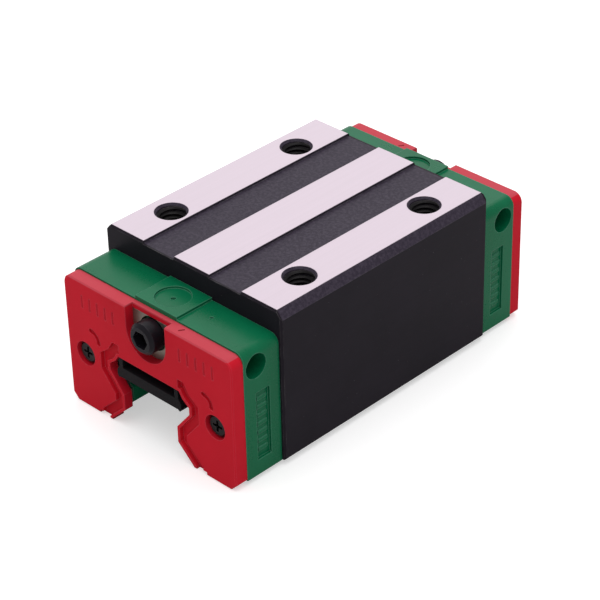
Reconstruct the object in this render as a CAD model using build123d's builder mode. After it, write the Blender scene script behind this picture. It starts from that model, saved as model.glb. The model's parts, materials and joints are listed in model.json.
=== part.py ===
from build123d import *
import math
import os

os.makedirs("parts", exist_ok=True)

# Square four-row ball carriage for a 23 mm profile rail.
# Origin: centre of the bolt pattern on the top mounting face. X is across the
# rail, Y is the direction of travel and Z is up. The rail's top is at RAIL_TOP.
# Millimetres.

HAIR = 0.01  # tolerance for picking faces and edges by their place

# block
BLOCK_WIDTH = 48.0
BLOCK_LENGTH = 58.0
BLOCK_HEIGHT = 33.5
EDGE_CHAMFER_WIDTH = 1.4
EDGE_CHAMFER_DROP = 1.8
END_CHAMFER = 0.4
BOTTOM_CHAMFER = 0.3
STRIP_CENTRE_HALF = 4.75
STRIP_SIDE_INNER = 13.4
GROOVE_DEPTH = 0.6
BOLT_SPACING = 35.0
BOLT_RADIUS = 3.0
BOLT_DEPTH = 8.0
BOLT_MOUTH_RADIUS = 3.45
CHANNEL_CEILING = -16.6
CHANNEL_HALF_WIDTH = 12.3
CHANNEL_WAIST = 9.5
CHANNEL_HALF = [
    (9.6, CHANNEL_CEILING),
    (CHANNEL_HALF_WIDTH, -19.3),
    (CHANNEL_HALF_WIDTH, -25.6),
    (CHANNEL_WAIST, -28.4),
    (CHANNEL_WAIST, -30.6),
    (12.0, -BLOCK_HEIGHT),
]

# rail outline that the seals wipe, right-hand half from its top to its foot
RAIL_TOP = -18.35
RAIL_HALF = [
    (8.5, RAIL_TOP),
    (9.4, -19.75),
    (11.1, -21.05),
    (11.1, -22.55),
    (7.5, -26.95),
    (7.5, -30.55),
    (11.6, -34.35),
    (11.6, -40.0),
]

# balls and their circuits: x and z of each load row and return bore
BALL_RADIUS = 4.762 / 2
BALLS_PER_ROW = 12
BALLS_PER_TURN = 3
TURN_RADIUS = 5.0
ROW_PITCH = BLOCK_LENGTH / BALLS_PER_ROW
RACEWAY_RADIUS = 2.5
RETURN_BORE_RADIUS = 3.0
TUBE_OUTER_RADIUS = 2.95
TUBE_INNER_RADIUS = 2.6
TURN_CHANNEL_RADIUS = 2.7
GUIDE_POCKET_RADIUS = 2.6
GUIDE_RADIUS = 2.45
GUIDE_LENGTH = 4.6
GUIDE_SIDE_GAP = 0.1
UPPER_LOAD = (10.9, -18.9)
UPPER_RETURN = (18.5, -12.4)
LOWER_LOAD = (10.9, -25.4)
LOWER_RETURN = (20.1, -29.3)

# end caps
CAP_THICKNESS = 9.2
CAP_HALF_WIDTH = 23.2
CAP_TOP = -5.1
CAP_BOTTOM = -33.6
CAP_CORNER = 2.0
CAP_RAIL_GAP = 0.7
PAD_HALF_WIDTH = 5.7
PAD_RISE = 0.6
ORING_RADIUS = 3.6
ORING_DEPTH = 0.5
ORING_FROM_BLOCK = 4.7
DIMPLE_RADIUS = 0.5
DIMPLE_DEPTH = 0.9
PORT_RADIUS = 2.6
PORT_DEPTH = 4.0
PORT_FROM_BLOCK = 6.0
PORT_HEIGHT = -9.0
PASSAGE_RADIUS = 0.8
PASSAGE_HALF_LENGTH = 22.7
PANEL_WIDTH = 3.6
PANEL_RIB_LENGTH = 2.4
PANEL_TOP = -14.9
PANEL_BOTTOM = -30.2
PANEL_DEPTH = 0.6
PANEL_RIBS = 7
PANEL_RIB_WIDTH = 0.8
PANEL_RIB_RISE = 0.2
PANEL_FROM_BLOCK = 4.5
SPOT_ACROSS = 10.0
SPOT_FROM_BLOCK = 4.3
SPOT_RADIUS = 0.4
SPOT_DEPTH = 0.3

# end seals and their steel backing plates
SEAL_THICKNESS = 3.0
SEAL_HALF_WIDTH = 23.1
SEAL_TOP = -5.5
SEAL_BOTTOM = -34.75
SEAL_CORNER = 2.0
SEAL_FOOT_CHAMFER = 1.5
SEAL_EDGE = 0.25
PLATE_THICKNESS = 1.0
PLATE_MARGIN = 1.2
PLATE_CORNER = 1.0
PLATE_GAP = 0.05
PLATE_RAIL_GAP = 0.9
PLUG_HEIGHT = -10.15
NOTCH_HALF_WIDTH = 5.45
PLATE_PLUG_HOLE = 3.6
LIP_WIDTH = 0.6
LIP_GROOVE_WIDTH = 2.0
LIP_GROOVE_DEPTH = 1.0
LIP_GROOVE_START = 8.2
FOOT_STEP_INNER = 13.2
FOOT_STEP_OUTER = 15.2
FOOT_STEP_HEIGHT = 0.8
MARK_DEPTH = 0.2
MARK_WIDTH = 0.55
MARK_HEIGHT = 3.0
MARK_PITCH = 2.2
MARKS_PER_SIDE = 5
MARK_CENTRE = (13.6, -10.0)
NICK_RADIUS = 2.1
NICK_ARCS = [
    CenterArc((-16.1, -18.0), NICK_RADIUS, 0, 90),
    CenterArc((15.2, -18.0), NICK_RADIUS, 0, 90),
]
NICK_WIDTH = 1.1
NICK_DEPTH = 0.6
SLIT_ACROSS = 8.4
SLIT_END = 39.5
SLIT_LENGTH = 1.2
SLIT_WIDTH = 0.4
SLIT_DEPTH = 0.5
SLIT_TURN = -33.0

# fasteners
SCREW_PLACE = (18.1, -22.05)
SCREW_RADIUS = 1.5
SCREW_HOLE_RADIUS = 1.6
SCREW_HEAD_RADIUS = 2.3
SCREW_HEAD_HEIGHT = 1.4
SCREW_HEAD_EDGE = 0.35
SCREW_RECESS_RADIUS = 2.65
SCREW_IN_BLOCK = 6.0
SCREW_TAP_RADIUS = 1.53
SCREW_TAP_DEPTH = 7.0
CROSS_SIZE = 2.6
CROSS_WIDTH = 0.6
CROSS_DEPTH = 0.9
PLUG_HEAD_RADIUS = 3.3
PLUG_SHANK_RADIUS = 2.95
PLUG_HOLE_RADIUS = 3.0
PLUG_HEAD_BACK = 1.1
PLUG_END = 42.6
PLUG_END_CHAMFER = 0.7
PLUG_IN_CAP = 5.0
PLUG_HOLE_DEPTH = 6.5
PLUG_HEX_FLATS = 3.5
PLUG_HEX_DEPTH = 2.4

# retainers and bottom seals, right-hand half outlines
TOP_RETAINER_HALF_WIDTH = 8.3
TOP_RETAINER_THICKNESS = 1.2
SIDE_RETAINER = [
    (CHANNEL_HALF_WIDTH, -21.6),
    (11.5, -21.6),
    (11.5, -22.7),
    (CHANNEL_HALF_WIDTH, -22.7),
]
LOWER_RETAINER = [
    (CHANNEL_WAIST, -28.4),
    (8.4, -27.4),
    (8.4, -30.3),
    (CHANNEL_WAIST, -30.3),
]
DUST_SEAL = [
    (17.0, -BLOCK_HEIGHT),
    (12.4, -BLOCK_HEIGHT),
    (11.6, -34.1),
    (11.8, -34.5),
    (13.0, -34.2),
    (17.0, -34.2),
]
DUST_SEAL_LENGTH = 57.6

# loose plastic insert that keeps the balls in until the rail pushes it out
INSERT_HALF = [
    (7.2, -20.45),
    (7.2, -18.5),
    (8.2, -18.5),
    (8.2, -20.3),
    (8.9, -21.4),
    (8.9, -22.5),
    (8.5, -23.1),
    (8.0, -22.8),
]

HALF_LENGTH = BLOCK_LENGTH / 2
CAP_END = HALF_LENGTH + CAP_THICKNESS
PLATE_END = CAP_END + PLATE_THICKNESS
SEAL_END = CAP_END + SEAL_THICKNESS
FRONT = -1
REAR = 1
ENDS = {"front": FRONT, "rear": REAR}
SIDES = {"left": -1, "right": 1}
LEVELS = {"upper": (UPPER_LOAD, UPPER_RETURN), "lower": (LOWER_LOAD, LOWER_RETURN)}


def end_plane(end, distance):
    """Plane across the carriage, local x across and local y up, facing outwards at that end."""
    return Plane(origin=(0, end * distance, 0), x_dir=(-end, 0, 0), z_dir=(0, end, 0))


def both_halves(points):
    """A half outline and its mirror image, as one closed run of points."""
    return points + [(-x, z) for x, z in reversed(points)]


def finish(part, name):
    part.label = name
    export_step(part, f"parts/{name}.step")


def turn_plane(side, end, load, back):
    """Plane whose normal is the axis that a circuit's balls turn about at that end."""
    span = math.dist(load, back)
    across = side * (back[0] - load[0]) / span
    up = (back[1] - load[1]) / span
    middle = (side * (load[0] + back[0]) / 2, end * HALF_LENGTH, (load[1] + back[1]) / 2)
    return Plane(origin=middle, x_dir=(across, 0, up), z_dir=(up, 0, -across))


def turn_planes(end):
    return [
        turn_plane(side, end, load, back)
        for side in SIDES.values()
        for load, back in LEVELS.values()
    ]


def row_places(part_of_circuit):
    """Places of the four load rows (0) or the four return bores (1), in a cross-section."""
    return [
        (side * level[part_of_circuit][0], level[part_of_circuit][1])
        for side in SIDES.values()
        for level in LEVELS.values()
    ]


def rail_sketch(gap):
    """The rail's cross-section, grown by a gap; used inside a sketch on an end plane."""
    with BuildSketch(mode=Mode.PRIVATE) as rail:
        with BuildLine():
            Polyline(*both_halves(RAIL_HALF), close=True)
        make_face()
        if gap:
            offset(amount=gap, kind=Kind.INTERSECTION)
    return rail.sketch


# ---------------------------------------------------------------- block
top_half = [
    (STRIP_CENTRE_HALF, 0),
    (STRIP_CENTRE_HALF, -GROOVE_DEPTH),
    (STRIP_SIDE_INNER, -GROOVE_DEPTH),
    (STRIP_SIDE_INNER, 0),
    (BLOCK_WIDTH / 2 - EDGE_CHAMFER_WIDTH, 0),
    (BLOCK_WIDTH / 2, -EDGE_CHAMFER_DROP),
    (BLOCK_WIDTH / 2, BOTTOM_CHAMFER - BLOCK_HEIGHT),
    (BLOCK_WIDTH / 2 - BOTTOM_CHAMFER, -BLOCK_HEIGHT),
]
with BuildPart() as block:
    with BuildSketch(end_plane(FRONT, HALF_LENGTH)):
        with BuildLine():
            Polyline(*both_halves(top_half), close=True)
        make_face()
        with BuildLine():
            Polyline(*both_halves(CHANNEL_HALF), close=True)
        make_face(mode=Mode.SUBTRACT)
        with Locations(*row_places(0)):
            Circle(RACEWAY_RADIUS, mode=Mode.SUBTRACT)
        with Locations(*row_places(1)):
            Circle(RETURN_BORE_RADIUS, mode=Mode.SUBTRACT)
    extrude(amount=-BLOCK_LENGTH)
    top_end_edges = block.edges().filter_by(Axis.X).filter_by_position(Axis.Z, -HAIR, HAIR)
    chamfer(top_end_edges, END_CHAMFER)
    corner_edges = block.edges().filter_by(Axis.Z).filter_by(
        lambda edge: abs(edge.center().X) > BLOCK_WIDTH / 2 - HAIR
    )
    chamfer(corner_edges, END_CHAMFER)
    with Locations(Plane.XY):
        with GridLocations(BOLT_SPACING, BOLT_SPACING, 2, 2):
            CounterSinkHole(BOLT_RADIUS, BOLT_MOUTH_RADIUS, depth=BOLT_DEPTH, counter_sink_angle=90)
    for end in ENDS.values():
        with BuildSketch(end_plane(end, HALF_LENGTH)):
            for side in SIDES.values():
                with Locations((side * SCREW_PLACE[0], SCREW_PLACE[1])):
                    Circle(SCREW_TAP_RADIUS)
        extrude(amount=-SCREW_TAP_DEPTH, mode=Mode.SUBTRACT)
finish(block.part, "carriage_block")


# ---------------------------------------------------------------- ball return tubes
def return_tube(side, place):
    with BuildPart() as tube:
        with BuildSketch(end_plane(FRONT, HALF_LENGTH)):
            with Locations((side * place[0], place[1])):
                Circle(TUBE_OUTER_RADIUS)
                Circle(TUBE_INNER_RADIUS, mode=Mode.SUBTRACT)
        extrude(amount=-BLOCK_LENGTH)
    return tube.part


# ---------------------------------------------------------------- balls
def ball_row(side, place):
    with BuildPart() as row:
        for index in range(BALLS_PER_ROW):
            y = (index + 0.5) * ROW_PITCH - HALF_LENGTH
            with Locations((side * place[0], y, place[1])):
                Sphere(BALL_RADIUS)
    return row.part


def turn_balls(side, end, load, back):
    """The balls in the half-turn, evenly spread and half a space clear of both rows."""
    plane = turn_plane(side, end, load, back)
    with BuildPart() as turn:
        for index in range(BALLS_PER_TURN):
            angle = math.pi * (index + 0.5) / BALLS_PER_TURN
            along = -TURN_RADIUS * math.cos(angle)
            out = end * TURN_RADIUS * math.sin(angle)
            place = plane.origin + plane.x_dir * along + Vector(0, out, 0)
            with Locations(place):
                Sphere(BALL_RADIUS)
    return turn.part


# ---------------------------------------------------------------- inner guides of the turns
def turn_guide(side, end, load, back):
    with BuildPart() as guide:
        with Locations(turn_plane(side, end, load, back)):
            Cylinder(GUIDE_RADIUS, GUIDE_LENGTH)
        split(bisect_by=end_plane(end, HALF_LENGTH), keep=Keep.TOP)
    return guide.part


for level_name, (load, back) in LEVELS.items():
    for side_name, side in SIDES.items():
        circuit = f"{level_name}_{side_name}"
        finish(return_tube(side, back), f"{circuit}_return_tube")
        finish(ball_row(side, load), f"{circuit}_load_balls")
        finish(ball_row(side, back), f"{circuit}_return_balls")
        for end_name, end in ENDS.items():
            finish(turn_balls(side, end, load, back), f"{circuit}_{end_name}_turn_balls")
            finish(turn_guide(side, end, load, back), f"{circuit}_{end_name}_turn_guide")


# ---------------------------------------------------------------- end caps
def end_cap(end):
    """Plastic cap that turns the balls round, with the grease ports and the seal's seat."""
    with BuildPart() as cap:
        with BuildSketch(end_plane(end, HALF_LENGTH)):
            with Locations((0, (CAP_TOP + CAP_BOTTOM) / 2)):
                Rectangle(2 * CAP_HALF_WIDTH, CAP_TOP - CAP_BOTTOM)
            with Locations((0, CAP_TOP)):
                Rectangle(2 * PAD_HALF_WIDTH, 2 * PAD_RISE)
            add(rail_sketch(CAP_RAIL_GAP), mode=Mode.SUBTRACT)
        extrude(amount=CAP_THICKNESS)
        upper_corners = cap.edges().filter_by(Axis.Y).filter_by(
            lambda edge: abs(edge.center().X) > CAP_HALF_WIDTH - HAIR and edge.center().Z > CAP_TOP - HAIR
        )
        fillet(upper_corners, CAP_CORNER)
        # cap screws
        with BuildSketch(end_plane(end, HALF_LENGTH)):
            for side in SIDES.values():
                with Locations((side * SCREW_PLACE[0], SCREW_PLACE[1])):
                    Circle(SCREW_HOLE_RADIUS)
        extrude(amount=CAP_THICKNESS, mode=Mode.SUBTRACT)
        # grease inlet on the axis, and the passage to the two side ports
        with BuildSketch(end_plane(end, CAP_END)):
            with Locations((0, PLUG_HEIGHT)):
                Circle(PLUG_HOLE_RADIUS)
        extrude(amount=-PLUG_HOLE_DEPTH, mode=Mode.SUBTRACT)
        port_y = end * (HALF_LENGTH + PORT_FROM_BLOCK)
        with Locations((0, port_y, PORT_HEIGHT)):
            Cylinder(PASSAGE_RADIUS, 2 * PASSAGE_HALF_LENGTH, rotation=(0, 90, 0), mode=Mode.SUBTRACT)
        for side in SIDES.values():
            with Locations((side * (CAP_HALF_WIDTH - PORT_DEPTH / 2), port_y, PORT_HEIGHT)):
                Cylinder(PORT_RADIUS, PORT_DEPTH, rotation=(0, 90, 0), mode=Mode.SUBTRACT)
            # recessed panel with plain ribs on the side
            panel_y = end * (HALF_LENGTH + PANEL_FROM_BLOCK)
            panel_height = PANEL_TOP - PANEL_BOTTOM
            panel_middle = (PANEL_TOP + PANEL_BOTTOM) / 2
            with Locations((side * (CAP_HALF_WIDTH - PANEL_DEPTH / 2), panel_y, panel_middle)):
                Box(PANEL_DEPTH, PANEL_WIDTH, panel_height, mode=Mode.SUBTRACT)
            rib_x = side * (CAP_HALF_WIDTH - PANEL_DEPTH + PANEL_RIB_RISE / 2)
            rib_pitch = panel_height / (PANEL_RIBS + 1)
            for index in range(PANEL_RIBS):
                rib_z = PANEL_BOTTOM + (index + 1) * rib_pitch
                with Locations((rib_x, panel_y, rib_z)):
                    Box(PANEL_RIB_RISE, PANEL_RIB_LENGTH, PANEL_RIB_WIDTH)
        # O-ring seat on the top pad for oil fed from the table above
        seat_y = end * (HALF_LENGTH + ORING_FROM_BLOCK)
        with Locations((0, seat_y, CAP_TOP + PAD_RISE - ORING_DEPTH / 2)):
            Cylinder(ORING_RADIUS, ORING_DEPTH, mode=Mode.SUBTRACT)
        with Locations((0, seat_y, CAP_TOP + PAD_RISE - DIMPLE_DEPTH / 2)):
            Cylinder(DIMPLE_RADIUS, DIMPLE_DEPTH, mode=Mode.SUBTRACT)
        # small moulding spot beside the pad
        spot_y = end * (HALF_LENGTH + SPOT_FROM_BLOCK)
        with Locations((-end * SPOT_ACROSS, spot_y, CAP_TOP - SPOT_DEPTH / 2)):
            Cylinder(SPOT_RADIUS, SPOT_DEPTH, mode=Mode.SUBTRACT)
        # ball turns and the pockets of their inner guides
        for plane in turn_planes(end):
            with Locations(plane):
                Torus(TURN_RADIUS, TURN_CHANNEL_RADIUS, mode=Mode.SUBTRACT)
                Cylinder(
                    GUIDE_POCKET_RADIUS, GUIDE_LENGTH + 2 * GUIDE_SIDE_GAP, mode=Mode.SUBTRACT
                )
    return cap.part


# ---------------------------------------------------------------- end seals
def seal_outline(margin, corner):
    """Outline of the seal, shrunk by a margin; used inside a sketch on an end plane."""
    half = SEAL_HALF_WIDTH - margin
    top = SEAL_TOP - margin
    bottom = SEAL_BOTTOM + margin
    with BuildSketch(mode=Mode.PRIVATE) as outline:
        with Locations((0, (top + bottom) / 2)):
            Rectangle(2 * half, top - bottom)
        fillet(outline.vertices().group_by(Axis.Y)[-1], corner)
        chamfer(outline.vertices().group_by(Axis.Y)[0], SEAL_FOOT_CHAMFER)
    return outline.sketch


def lip_groove():
    """The sunk band round the rail opening that sets the wiping lip free."""
    with BuildSketch(mode=Mode.PRIVATE) as band:
        add(rail_sketch(LIP_WIDTH + LIP_GROOVE_WIDTH))
        add(rail_sketch(LIP_WIDTH), mode=Mode.SUBTRACT)
        with Locations((0, RAIL_TOP)):
            Rectangle(2 * LIP_GROOVE_START, 4 * LIP_GROOVE_WIDTH, mode=Mode.SUBTRACT)
        # the band widens at the foot
        for side in SIDES.values():
            with Locations((side * (FOOT_STEP_INNER + FOOT_STEP_OUTER) / 2, SEAL_BOTTOM)):
                Rectangle(FOOT_STEP_OUTER - FOOT_STEP_INNER, 2 * FOOT_STEP_HEIGHT)
    return band.sketch


def end_seal(end):
    """Rubber wiper, with its steel plate let into its back and a notch for the grease plug."""
    with BuildPart() as seal:
        with BuildSketch(end_plane(end, CAP_END)):
            add(seal_outline(0, SEAL_CORNER))
        extrude(amount=SEAL_THICKNESS)
        outer_face = seal.faces().filter_by(Axis.Y).sort_by(Axis.Y)[0 if end == FRONT else -1]
        chamfer(outer_face.edges(), SEAL_EDGE)
        # opening that wipes the rail
        with BuildSketch(end_plane(end, CAP_END)):
            add(rail_sketch(0))
        extrude(amount=SEAL_THICKNESS, mode=Mode.SUBTRACT)
        # seat of the steel plate
        with BuildSketch(end_plane(end, CAP_END)):
            add(seal_outline(PLATE_MARGIN - PLATE_GAP, PLATE_CORNER))
        extrude(amount=PLATE_THICKNESS, mode=Mode.SUBTRACT)
        # notch for the plug, open at the top in front of the plate
        with BuildSketch(end_plane(end, PLATE_END)):
            with Locations((0, PLUG_HEIGHT)):
                Circle(NOTCH_HALF_WIDTH)
            with Locations((0, PLUG_HEIGHT / 2)):
                Rectangle(2 * NOTCH_HALF_WIDTH, -PLUG_HEIGHT)
        extrude(amount=SEAL_THICKNESS, mode=Mode.SUBTRACT)
        # recesses of the screws
        with BuildSketch(end_plane(end, PLATE_END)):
            for side in SIDES.values():
                with Locations((side * SCREW_PLACE[0], SCREW_PLACE[1])):
                    Circle(SCREW_RECESS_RADIUS)
        extrude(amount=SEAL_THICKNESS, mode=Mode.SUBTRACT)
        # groove round the lip
        with BuildSketch(end_plane(end, SEAL_END)):
            add(lip_groove())
        extrude(amount=-LIP_GROOVE_DEPTH, mode=Mode.SUBTRACT)
        # plain moulded strokes and the two curved nicks
        with BuildSketch(end_plane(end, SEAL_END)):
            for side in SIDES.values():
                with Locations((side * MARK_CENTRE[0], MARK_CENTRE[1])):
                    with GridLocations(MARK_PITCH, 0, MARKS_PER_SIDE, 1):
                        SlotOverall(MARK_HEIGHT, MARK_WIDTH, rotation=90)
        extrude(amount=-MARK_DEPTH, mode=Mode.SUBTRACT)
        with BuildSketch(end_plane(end, SEAL_END)):
            for arc in NICK_ARCS:
                SlotArc(arc, NICK_WIDTH)
        extrude(amount=-NICK_DEPTH, mode=Mode.SUBTRACT)
        # short slit in the top
        with Locations((-end * SLIT_ACROSS, end * SLIT_END, SEAL_TOP)):
            Box(SLIT_WIDTH, SLIT_LENGTH, 2 * SLIT_DEPTH, rotation=(0, 0, SLIT_TURN), mode=Mode.SUBTRACT)
    return seal.part


def seal_plate(end):
    """Steel plate behind the seal that the two screws clamp."""
    with BuildPart() as plate:
        with BuildSketch(end_plane(end, CAP_END)):
            add(seal_outline(PLATE_MARGIN, PLATE_CORNER))
            add(rail_sketch(PLATE_RAIL_GAP), mode=Mode.SUBTRACT)
            with Locations((0, PLUG_HEIGHT)):
                Circle(PLATE_PLUG_HOLE, mode=Mode.SUBTRACT)
            for side in SIDES.values():
                with Locations((side * SCREW_PLACE[0], SCREW_PLACE[1])):
                    Circle(SCREW_HOLE_RADIUS, mode=Mode.SUBTRACT)
        extrude(amount=PLATE_THICKNESS)
    return plate.part


# ---------------------------------------------------------------- fasteners
def seal_screws(end):
    """Two long cross-recess screws that hold the seal and the cap to the block."""
    with BuildPart() as screws:
        for side in SIDES.values():
            place = (side * SCREW_PLACE[0], SCREW_PLACE[1])
            with BuildSketch(end_plane(end, HALF_LENGTH - SCREW_IN_BLOCK)):
                with Locations(place):
                    Circle(SCREW_RADIUS)
            extrude(amount=PLATE_END - HALF_LENGTH + SCREW_IN_BLOCK)
            with BuildSketch(end_plane(end, PLATE_END)):
                with Locations(place):
                    Circle(SCREW_HEAD_RADIUS)
            extrude(amount=SCREW_HEAD_HEIGHT)
        head_faces = screws.faces().filter_by(Axis.Y).group_by(Axis.Y)[0 if end == FRONT else -1]
        chamfer(head_faces.edges(), SCREW_HEAD_EDGE)
        with BuildSketch(end_plane(end, PLATE_END + SCREW_HEAD_HEIGHT)):
            for side in SIDES.values():
                with Locations((side * SCREW_PLACE[0], SCREW_PLACE[1])):
                    Rectangle(CROSS_SIZE, CROSS_WIDTH)
                    Rectangle(CROSS_WIDTH, CROSS_SIZE)
        extrude(amount=-CROSS_DEPTH, mode=Mode.SUBTRACT)
    return screws.part


def grease_plug(end):
    """Hexagon-socket plug in the cap's grease inlet."""
    with BuildPart() as plug:
        with BuildSketch(end_plane(end, CAP_END - PLUG_IN_CAP)):
            with Locations((0, PLUG_HEIGHT)):
                Circle(PLUG_SHANK_RADIUS)
        extrude(amount=PLUG_IN_CAP + PLUG_HEAD_BACK)
        with BuildSketch(end_plane(end, CAP_END + PLUG_HEAD_BACK)):
            with Locations((0, PLUG_HEIGHT)):
                Circle(PLUG_HEAD_RADIUS)
        extrude(amount=PLUG_END - CAP_END - PLUG_HEAD_BACK)
        end_face = plug.faces().filter_by(Axis.Y).sort_by(Axis.Y)[0 if end == FRONT else -1]
        chamfer(end_face.edges(), PLUG_END_CHAMFER)
        with BuildSketch(end_plane(end, PLUG_END)):
            with Locations((0, PLUG_HEIGHT)):
                RegularPolygon(PLUG_HEX_FLATS / 2, 6, major_radius=False)
        extrude(amount=-PLUG_HEX_DEPTH, mode=Mode.SUBTRACT)
    return plug.part


for end_name, end in ENDS.items():
    finish(end_cap(end), f"{end_name}_end_cap")
    finish(end_seal(end), f"{end_name}_end_seal")
    finish(seal_plate(end), f"{end_name}_seal_plate")
    finish(seal_screws(end), f"{end_name}_seal_screws")
    finish(grease_plug(end), f"{end_name}_grease_plug")


# ---------------------------------------------------------------- retainers, insert and bottom seals
def strip(points, side, length):
    """A straight strip along the channel with the given cross-section on one side."""
    with BuildPart() as bar:
        with BuildSketch(end_plane(FRONT, length / 2)):
            with BuildLine():
                Polyline(*[(side * x, z) for x, z in points], close=True)
            make_face()
        extrude(amount=-length)
    return bar.part


with BuildPart() as top_retainer:
    with BuildSketch(end_plane(FRONT, HALF_LENGTH)):
        with Locations((0, CHANNEL_CEILING - TOP_RETAINER_THICKNESS / 2)):
            Rectangle(2 * TOP_RETAINER_HALF_WIDTH, TOP_RETAINER_THICKNESS)
    extrude(amount=-BLOCK_LENGTH)
finish(top_retainer.part, "top_ball_retainer")
with BuildPart() as insert:
    with BuildSketch(end_plane(FRONT, SEAL_END)):
        with BuildLine():
            Polyline(*both_halves(INSERT_HALF), close=True)
        make_face()
    extrude(amount=-2 * SEAL_END)
finish(insert.part, "transport_insert")
for side_name, side in SIDES.items():
    finish(strip(SIDE_RETAINER, side, BLOCK_LENGTH), f"{side_name}_side_ball_retainer")
    finish(strip(LOWER_RETAINER, side, BLOCK_LENGTH), f"{side_name}_lower_ball_retainer")
    finish(strip(DUST_SEAL, side, DUST_SEAL_LENGTH), f"{side_name}_bottom_seal")
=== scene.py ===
import json
import math

import bmesh
import bpy
from mathutils import Matrix, Vector


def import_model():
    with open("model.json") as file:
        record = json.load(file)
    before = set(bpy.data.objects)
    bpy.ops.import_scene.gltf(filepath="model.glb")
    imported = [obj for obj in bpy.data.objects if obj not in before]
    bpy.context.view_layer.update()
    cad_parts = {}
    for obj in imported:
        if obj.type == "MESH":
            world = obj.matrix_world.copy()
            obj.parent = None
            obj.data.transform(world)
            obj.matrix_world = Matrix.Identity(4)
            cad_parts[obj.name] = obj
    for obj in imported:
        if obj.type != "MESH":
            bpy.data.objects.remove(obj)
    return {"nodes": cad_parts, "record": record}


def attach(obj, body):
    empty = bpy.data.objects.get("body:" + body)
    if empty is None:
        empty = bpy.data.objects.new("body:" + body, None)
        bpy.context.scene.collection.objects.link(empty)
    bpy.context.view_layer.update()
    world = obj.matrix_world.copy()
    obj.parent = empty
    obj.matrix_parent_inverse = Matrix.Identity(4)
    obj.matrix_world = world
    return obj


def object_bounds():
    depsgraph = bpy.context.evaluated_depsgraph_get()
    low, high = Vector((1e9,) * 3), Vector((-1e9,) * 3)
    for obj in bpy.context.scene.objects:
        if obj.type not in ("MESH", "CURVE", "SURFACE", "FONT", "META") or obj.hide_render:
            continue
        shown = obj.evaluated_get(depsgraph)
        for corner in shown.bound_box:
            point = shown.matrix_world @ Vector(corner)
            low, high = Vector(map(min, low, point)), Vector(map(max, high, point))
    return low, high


# Looks of the linear guide carriage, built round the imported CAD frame. Metres.

MM = 0.001

# camera
CAMERA_AZIMUTH = math.radians(45.0)
CAMERA_ELEVATION = math.radians(32.9)
CAMERA_ROLL = math.radians(-1.42)
CAMERA_DISTANCE = 0.4593
CAMERA_AIM = Vector((0.00143, -0.00143, -0.02013))
CAMERA_LENS = 138.04
CAMERA_SENSOR = 36.0
CAMERA_CLIP = (0.01, 20.0)

# light and floor
WORLD_COLOUR = (1.0, 0.99, 1.0, 1.0)
WORLD_STRENGTH = 0.6
SOFTBOXES = {
    "back_softbox": {"direction": (-0.6, 0.6, 0.56), "distance": 0.9, "size": 0.9, "radiance": 0.9},
    "top_softbox": {"direction": (0.1, -0.1, 1.0), "distance": 0.8, "size": 0.8, "radiance": 1.75},
}
FLOOR_SIZE = 3.0
FLOOR_COLOURS = (0.68, 0.68, 0.68, 1), (0.70, 0.70, 0.70, 1)
FLOOR_GLOW = 0.5

# thread of the tapped holes
TAP_GAP = 0.02 * MM
TAP_MINOR = 2.5 * MM
TAP_PITCH = 1.0 * MM
TAP_CREST = 0.14 * MM
TAP_ROOT = 0.9 * MM
TAP_TOP = -0.75 * MM
TAP_TURNS = 6
TAP_STEPS = 48

# levels and lengths at which a finish or a painted light changes
GROUND_LEVEL = -0.03 * MM
TOP_LIT_LEVEL = -1.85 * MM
TOP_LIT_HALF_LENGTH = 28.6 * MM
TOP_SHEEN_LEVEL = -5.8 * MM

# colours, mostly as a darker and a lighter shade that a noise mixes
OXIDE = (0.0115, 0.0088, 0.0135, 1), (0.017, 0.0132, 0.0195, 1)
OXIDE_TOP_LIT = (0.033, 0.026, 0.040, 1), (0.058, 0.047, 0.068, 1)
OXIDE_SPECK = (0.16, 0.15, 0.16, 1)
OXIDE_PALE_EDGE = (0.20, 0.19, 0.195, 1)
GROUND = (0.53, 0.455, 0.51, 1), (0.57, 0.49, 0.55, 1)
GREEN = (0.0008, 0.118, 0.047, 1), (0.002, 0.142, 0.060, 1)
GREEN_EDGE_HIGHLIGHT = (0.12, 0.36, 0.24, 1)
RED = (0.53, 0.0085, 0.021, 1), (0.60, 0.012, 0.027, 1)
RED_DUST = (0.62, 0.16, 0.18, 1)
RED_EDGE_HIGHLIGHT = (0.74, 0.12, 0.16, 1)
RED_TOP_SHEEN = (0.54, 0.072, 0.096, 1)
POLISHED = (0.62, 0.62, 0.63, 1), (0.72, 0.72, 0.72, 1)
ACETAL = (0.58, 0.55, 0.46, 1), (0.68, 0.65, 0.56, 1)
BLACK_PLASTIC = (0.0055, 0.005, 0.0062, 1), (0.009, 0.0082, 0.0098, 1)
BLACK_RUBBER = (0.012, 0.012, 0.012, 1), (0.02, 0.02, 0.02, 1)
STEEL_LIGHTER = 1.35

# edge wear and painted edge highlights: how the rounded normal and the true one agree on a flat face and
# on a sharp edge
EDGE_SAMPLES = 6
EDGE_FLAT = 0.995
EDGE_SHARP = 0.85

SHADER_INPUTS = {
    "colour": "Base Color",
    "metal": "Metallic",
    "rough": "Roughness",
    "gloss": "Specular IOR Level",
    "coat": "Coat Weight",
    "coat_rough": "Coat Roughness",
    "glow": "Emission Strength",
}

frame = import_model()
cad_low, cad_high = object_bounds()
nodes = frame["nodes"]
record = frame["record"]


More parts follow.
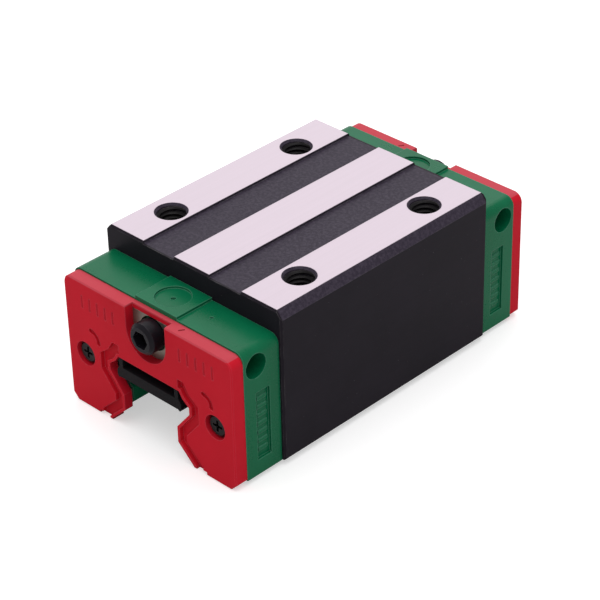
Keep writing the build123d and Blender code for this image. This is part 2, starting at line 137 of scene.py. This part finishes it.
# ---------------------------------------------------------------- node helpers
class Shading:
    """A material and short ways to add nodes to it."""

    def __init__(self, name):
        self.material = bpy.data.materials.new(name)
        self.material.use_nodes = True
        self.tree = self.material.node_tree
        self.shader = self.tree.nodes["Principled BSDF"]
        self.place = self.node("TexCoord")["Object"]

    def put(self, value, socket):
        """Links a socket to the socket, or sets a plain value on it."""
        if isinstance(value, bpy.types.NodeSocket):
            self.tree.links.new(value, socket)
        else:
            socket.default_value = value

    def node(self, kind, inputs=None, **settings):
        """Adds a node, makes its settings and then its inputs, and gives its outputs."""
        node = self.tree.nodes.new("ShaderNode" + kind)
        for name, value in settings.items():
            setattr(node, name, value)
        for name, value in (inputs or {}).items():
            self.put(value, node.inputs[name])
        return node.outputs

    def scaled(self, scale):
        """The place on the object, stretched, for a grain with a direction."""
        return self.node("Mapping", {"Vector": self.place, "Scale": scale})["Vector"]

    def noise(self, scale, detail=4.0, roughness=0.55, place=None):
        inputs = {"Scale": scale, "Detail": detail, "Roughness": roughness, "Vector": place or self.place}
        return self.node("TexNoise", inputs)["Fac"]

    def spread(self, value, low, high, to_low=0.0, to_high=1.0):
        """Maps low to high onto to_low to to_high, and stops there."""
        inputs = {"Value": value, "From Min": low, "From Max": high, "To Min": to_low, "To Max": to_high}
        return self.node("MapRange", inputs)["Result"]

    def maths(self, operation, first, second=0.0):
        return self.node("Math", {0: first, 1: second}, operation=operation)[0]

    def mix(self, share, first, second, data_type="RGBA"):
        return self.node("Mix", {"Factor": share, "A": first, "B": second}, data_type=data_type)["Result"]

    def mix_values(self, share, first, second):
        return self.mix(share, first, second, data_type="FLOAT")

    def axis(self, name):
        return self.node("SeparateXYZ", {"Vector": self.place})[name]

    def above(self, level):
        """1 over a level of the object and 0 under it."""
        return self.maths("GREATER_THAN", self.axis("Z"), level)

    def rounded(self, radius):
        """The normal as if the sharp edges were rounded off."""
        return self.node("Bevel", {"Radius": radius}, samples=EDGE_SAMPLES)["Normal"]

    def edges(self, radius):
        """1 on the sharp edges of the piece and 0 on its flat faces."""
        normals = {0: self.rounded(radius), 1: self.node("NewGeometry")["Normal"]}
        agreement = self.node("VectorMath", normals, operation="DOT_PRODUCT")["Value"]
        return self.spread(agreement, EDGE_FLAT, EDGE_SHARP)

    def bump(self, height, distance, strength, rounded=None):
        inputs = {"Height": height, "Distance": distance, "Strength": strength}
        if rounded:
            inputs["Normal"] = self.rounded(rounded)
        self.put(self.node("Bump", inputs)["Normal"], self.shader.inputs["Normal"])

    def surface(self, **values):
        for key, value in values.items():
            self.put(value, self.shader.inputs[SHADER_INPUTS[key]])
        return self.material


# ---------------------------------------------------------------- materials
def block_steel():
    """Black oxide all over, ground bright on the three top strips, with painted light from above on the
    grooves and long chamfers, paler along its edges.
    """
    s = Shading("block_steel")
    blotches = s.noise(60.0, 5.0, 0.6)
    fine = s.noise(1400.0, 3.0, 0.6)
    drawn = s.noise(220.0, 4.0, 0.6, s.scaled((1.0, 0.06, 4.0)))
    lines = s.noise(900.0, 3.0, 0.7, s.scaled((1.0, 0.015, 1.0)))
    oxide = s.mix(s.spread(blotches, 0.35, 0.7), *OXIDE)
    # painted light: the grooves and the long chamfers are made lighter, as if lit from above, with a
    # speckled grain
    inboard = s.maths("LESS_THAN", s.maths("ABSOLUTE", s.axis("Y")), TOP_LIT_HALF_LENGTH)
    top_lit = s.mix(s.spread(s.noise(1500.0, 3.0, 0.7), 0.42, 0.68), *OXIDE_TOP_LIT)
    oxide = s.mix(s.maths("MULTIPLY", s.above(TOP_LIT_LEVEL), inboard), oxide, top_lit)
    specks = s.spread(s.noise(2600.0, 2.0, 0.5), 0.74, 0.8)
    oxide = s.mix(s.maths("MULTIPLY", specks, 0.35), oxide, OXIDE_SPECK)
    # the sharp edges are mixed paler along a noise
    pale_edges = s.maths("MULTIPLY", s.edges(0.22 * MM), s.spread(s.noise(340.0, 4.0, 0.65), 0.38, 0.6))
    oxide = s.mix(s.maths("MULTIPLY", pale_edges, 0.55), oxide, OXIDE_PALE_EDGE)
    oxide_rough = s.maths("ADD", s.maths("MULTIPLY", drawn, 0.5), blotches)
    oxide_rough = s.spread(oxide_rough, 0.5, 1.1, 0.36, 0.5)
    oxide_height = s.maths("ADD", s.maths("MULTIPLY", fine, 0.5), s.maths("MULTIPLY", drawn, 0.5))
    ground = s.above(GROUND_LEVEL)
    colour = s.mix(ground, oxide, s.mix(s.spread(lines, 0.3, 0.7), *GROUND))
    rough = s.mix_values(ground, oxide_rough, s.spread(lines, 0.3, 0.7, 0.30, 0.4))
    height = s.mix_values(ground, oxide_height, s.maths("MULTIPLY", lines, 0.25))
    s.bump(height, 0.012 * MM, 0.5, rounded=0.15 * MM)
    return s.surface(colour=colour, metal=ground, rough=rough, gloss=0.08)


def cap_plastic():
    """Green moulded plastic, fine grain and faint flow marks."""
    s = Shading("cap_plastic")
    flow = s.noise(70.0, 3.0, 0.5, s.scaled((1.0, 2.2, 0.5)))
    fine = s.noise(2600.0, 2.0, 0.5)
    colour = s.mix(s.spread(flow, 0.3, 0.7), *GREEN)
    # painted highlight: the sharp edges are mixed towards a lighter green
    colour = s.mix(s.maths("MULTIPLY", s.edges(0.3 * MM), 0.55), colour, GREEN_EDGE_HIGHLIGHT)
    rough = s.spread(s.maths("ADD", flow, s.maths("MULTIPLY", fine, 0.4)), 0.4, 1.0, 0.24, 0.34)
    s.bump(fine, 0.016 * MM, 0.6, rounded=0.25 * MM)
    return s.surface(colour=colour, rough=rough, gloss=0.16)


def seal_rubber():
    """Red moulded rubber with a soft sheen and a fine spark-eroded grain, with painted highlights on its
    edges and a painted sheen, paler, along the top.
    """
    s = Shading("seal_rubber")
    patches = s.noise(55.0, 4.0, 0.55)
    fine = s.noise(2200.0, 3.0, 0.6)
    dust = s.spread(s.noise(900.0, 5.0, 0.7), 0.66, 0.8)
    # painted sheen: the top face and its edge above a level are mixed paler, as if lit from above
    top_sheen = s.maths("MULTIPLY", s.above(TOP_SHEEN_LEVEL), s.spread(patches, 0.2, 0.8, 0.65, 0.95))
    colour = s.mix(s.spread(patches, 0.3, 0.7), *RED)
    colour = s.mix(s.maths("MULTIPLY", dust, 0.12), colour, RED_DUST)
    # painted highlight: the sharp edges are mixed towards a lighter red
    colour = s.mix(s.maths("MULTIPLY", s.edges(0.25 * MM), 0.45), colour, RED_EDGE_HIGHLIGHT)
    colour = s.mix(top_sheen, colour, RED_TOP_SHEEN)
    rough = s.spread(s.maths("ADD", patches, s.maths("MULTIPLY", fine, 0.5)), 0.5, 1.1, 0.44, 0.58)
    s.bump(fine, 0.022 * MM, 0.6, rounded=0.22 * MM)
    return s.surface(colour=colour, rough=rough, gloss=0.05)


def steel(name, dark, bright, rough_range, metal, wear):
    """A small steel part with a plated or oiled finish, brighter on its worn edges."""
    s = Shading(name)
    cloud = s.noise(260.0, 4.0, 0.6)
    fine = s.noise(1800.0, 3.0, 0.6)
    lighter = tuple(channel * STEEL_LIGHTER for channel in dark[:3]) + (1,)
    pale_edges = s.maths("MULTIPLY", s.edges(0.15 * MM), wear)
    pale_edges = s.maths("MULTIPLY", pale_edges, s.spread(s.noise(700.0, 3.0, 0.6), 0.35, 0.6))
    colour = s.mix(pale_edges, s.mix(s.spread(cloud, 0.35, 0.7), dark, lighter), bright)
    rough = s.spread(s.maths("ADD", cloud, s.maths("MULTIPLY", fine, 0.4)), 0.4, 1.0, *rough_range)
    s.bump(fine, 0.01 * MM, 0.5, rounded=0.1 * MM)
    return s.surface(colour=colour, metal=metal, rough=rough, gloss=0.18)


def ball_steel():
    """Polished bearing steel under a film of oil."""
    s = Shading("ball_steel")
    film = s.noise(500.0, 3.0, 0.5)
    colour = s.mix(s.spread(film, 0.3, 0.7), *POLISHED)
    rough = s.spread(film, 0.3, 0.7, 0.05, 0.12)
    s.bump(film, 0.002 * MM, 0.4)
    return s.surface(colour=colour, metal=1.0, rough=rough, coat=0.25, coat_rough=0.1)


def moulded(name, colours, rough_range):
    """Moulded plastic or rubber with a fine grain."""
    s = Shading(name)
    fine = s.noise(2400.0, 2.0, 0.5)
    colour = s.mix(s.spread(s.noise(90.0, 3.0, 0.5), 0.3, 0.7), *colours)
    rough = s.spread(fine, 0.3, 0.7, *rough_range)
    s.bump(fine, 0.012 * MM, 0.5, rounded=0.15 * MM)
    return s.surface(colour=colour, rough=rough, gloss=0.08)


finishes = {
    "block_steel": block_steel(),
    "cap_plastic": cap_plastic(),
    "seal_rubber": seal_rubber(),
    "plate_steel": steel(
        "plate_steel",
        dark=(0.26, 0.235, 0.20, 1),
        bright=(0.55, 0.52, 0.47, 1),
        rough_range=(0.42, 0.55),
        metal=1.0,
        wear=0.4,
    ),
    "screw_steel": steel(
        "screw_steel",
        dark=(0.010, 0.009, 0.010, 1),
        bright=(0.13, 0.12, 0.12, 1),
        rough_range=(0.34, 0.48),
        metal=0.3,
        wear=0.6,
    ),
    "plug_steel": steel(
        "plug_steel",
        dark=(0.008, 0.007, 0.010, 1),
        bright=(0.10, 0.09, 0.105, 1),
        rough_range=(0.26, 0.4),
        metal=0.25,
        wear=0.6,
    ),
    "ball_steel": ball_steel(),
    "guide_plastic": moulded("guide_plastic", ACETAL, (0.35, 0.5)),
    "retainer_plastic": moulded("retainer_plastic", BLACK_PLASTIC, (0.45, 0.6)),
    "bottom_seal_rubber": moulded("bottom_seal_rubber", BLACK_RUBBER, (0.55, 0.7)),
}


def dress(piece, slot):
    """Gives a piece the finish of a material slot."""
    piece.data.materials.clear()
    piece.data.materials.append(finishes[slot])


for entry in record["subparts"]:
    dress(nodes[entry["node"]], entry["material_slot"])


# ---------------------------------------------------------------- threads
def add_piece(name, shape):
    """Turns a bmesh into an object of the scene."""
    mesh = bpy.data.meshes.new(name)
    shape.to_mesh(mesh)
    shape.free()
    piece = bpy.data.objects.new(name, mesh)
    bpy.context.scene.collection.objects.link(piece)
    return piece


def screw_thread(name, centre_x, centre_y, major):
    """The ridge of an internal thread, wound down a hole along Z, that fades out at both ends."""
    shape = bmesh.new()
    profile = [
        (major, TAP_ROOT / 2),
        (TAP_MINOR, TAP_CREST / 2),
        (TAP_MINOR, -TAP_CREST / 2),
        (major, -TAP_ROOT / 2),
    ]
    fade_steps = TAP_STEPS / 2
    last = TAP_TURNS * TAP_STEPS
    rings = []
    for step in range(last + 1):
        angle = 2 * math.pi * step / TAP_STEPS
        fade = min(1.0, step / fade_steps, (last - step) / fade_steps)
        drop = TAP_TOP - TAP_PITCH * step / TAP_STEPS
        ring = []
        for radius, height in profile:
            reach = major + (radius - major) * fade
            place = (centre_x + reach * math.cos(angle), centre_y + reach * math.sin(angle), drop + height)
            ring.append(shape.verts.new(place))
        rings.append(ring)
    for ring, following in zip(rings, rings[1:]):
        for corner in range(len(profile)):
            beside = (corner + 1) % len(profile)
            shape.faces.new((ring[corner], ring[beside], following[beside], following[corner]))
    shape.faces.new(rings[0])
    shape.faces.new(reversed(rings[-1]))
    bmesh.ops.recalc_face_normals(shape, faces=shape.faces)
    piece = add_piece(name, shape)
    dress(piece, "screw_steel")
    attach(piece, "carriage")


bolts = next(mount["dims"] for mount in record["mounts"] if mount["name"] == "top_bolts")
bolt_x = bolts["spacing_x_mm"] / 2 * MM
bolt_y = bolts["spacing_y_mm"] / 2 * MM
tap_major = bolts["hole_r_mm"] * MM - TAP_GAP
for end_name, y in {"front": -bolt_y, "rear": bolt_y}.items():
    for side_name, x in {"left": -bolt_x, "right": bolt_x}.items():
        screw_thread(f"{end_name}_{side_name}_bolt_thread", x, y, tap_major)


# ---------------------------------------------------------------- stage
def floor(height):
    """A plain pale surface that the carriage stands on, which the camera sees a little brighter."""
    shape = bmesh.new()
    bmesh.ops.create_grid(shape, x_segments=2, y_segments=2, size=FLOOR_SIZE / 2)
    piece = add_piece("floor", shape)
    piece.location.z = height
    s = Shading("floor_paper")
    colour = s.mix(s.noise(30.0, 3.0, 0.5), *FLOOR_COLOURS)
    glow = s.maths("MULTIPLY", s.node("LightPath")["Is Camera Ray"], FLOOR_GLOW)
    piece.data.materials.append(s.surface(colour=colour, rough=0.8, gloss=0.1, glow=glow))


def softbox(name, direction, distance, size, radiance):
    """A square area light that looks at the carriage from a direction."""
    data = bpy.data.lights.new(name, "AREA")
    data.shape = "SQUARE"
    data.size = size
    data.energy = radiance * math.pi * size * size
    light = bpy.data.objects.new(name, data)
    away = Vector(direction).normalized()
    light.location = CAMERA_AIM + away * distance
    light.rotation_mode = "QUATERNION"
    light.rotation_quaternion = (-away).to_track_quat("-Z", "Y")
    bpy.context.scene.collection.objects.link(light)


def world():
    """Even light from all round."""
    surroundings = bpy.data.worlds.new("studio")
    surroundings.use_nodes = True
    background = surroundings.node_tree.nodes["Background"]
    background.inputs["Color"].default_value = WORLD_COLOUR
    background.inputs["Strength"].default_value = WORLD_STRENGTH
    bpy.context.scene.world = surroundings


def camera():
    """The camera at the photograph's viewing angle."""
    data = bpy.data.cameras.new("camera")
    data.sensor_width = CAMERA_SENSOR
    data.lens = CAMERA_LENS
    data.clip_start, data.clip_end = CAMERA_CLIP
    eye = bpy.data.objects.new("camera", data)
    level = math.cos(CAMERA_ELEVATION)
    back = Vector(
        (math.sin(CAMERA_AZIMUTH) * level, -math.cos(CAMERA_AZIMUTH) * level, math.sin(CAMERA_ELEVATION))
    )
    right = Vector((math.cos(CAMERA_AZIMUTH), math.sin(CAMERA_AZIMUTH), 0))
    up = back.cross(right)
    turned_right = right * math.cos(CAMERA_ROLL) + up * math.sin(CAMERA_ROLL)
    turned_up = up * math.cos(CAMERA_ROLL) - right * math.sin(CAMERA_ROLL)
    facing = Matrix((turned_right, turned_up, back)).transposed()
    eye.matrix_world = Matrix.Translation(CAMERA_AIM + back * CAMERA_DISTANCE) @ facing.to_4x4()
    bpy.context.scene.collection.objects.link(eye)
    bpy.context.scene.camera = eye


floor(cad_low.z)
world()
for softbox_name, settings in SOFTBOXES.items():
    softbox(softbox_name, **settings)
camera()
bpy.context.scene.view_settings.view_transform = "Standard"
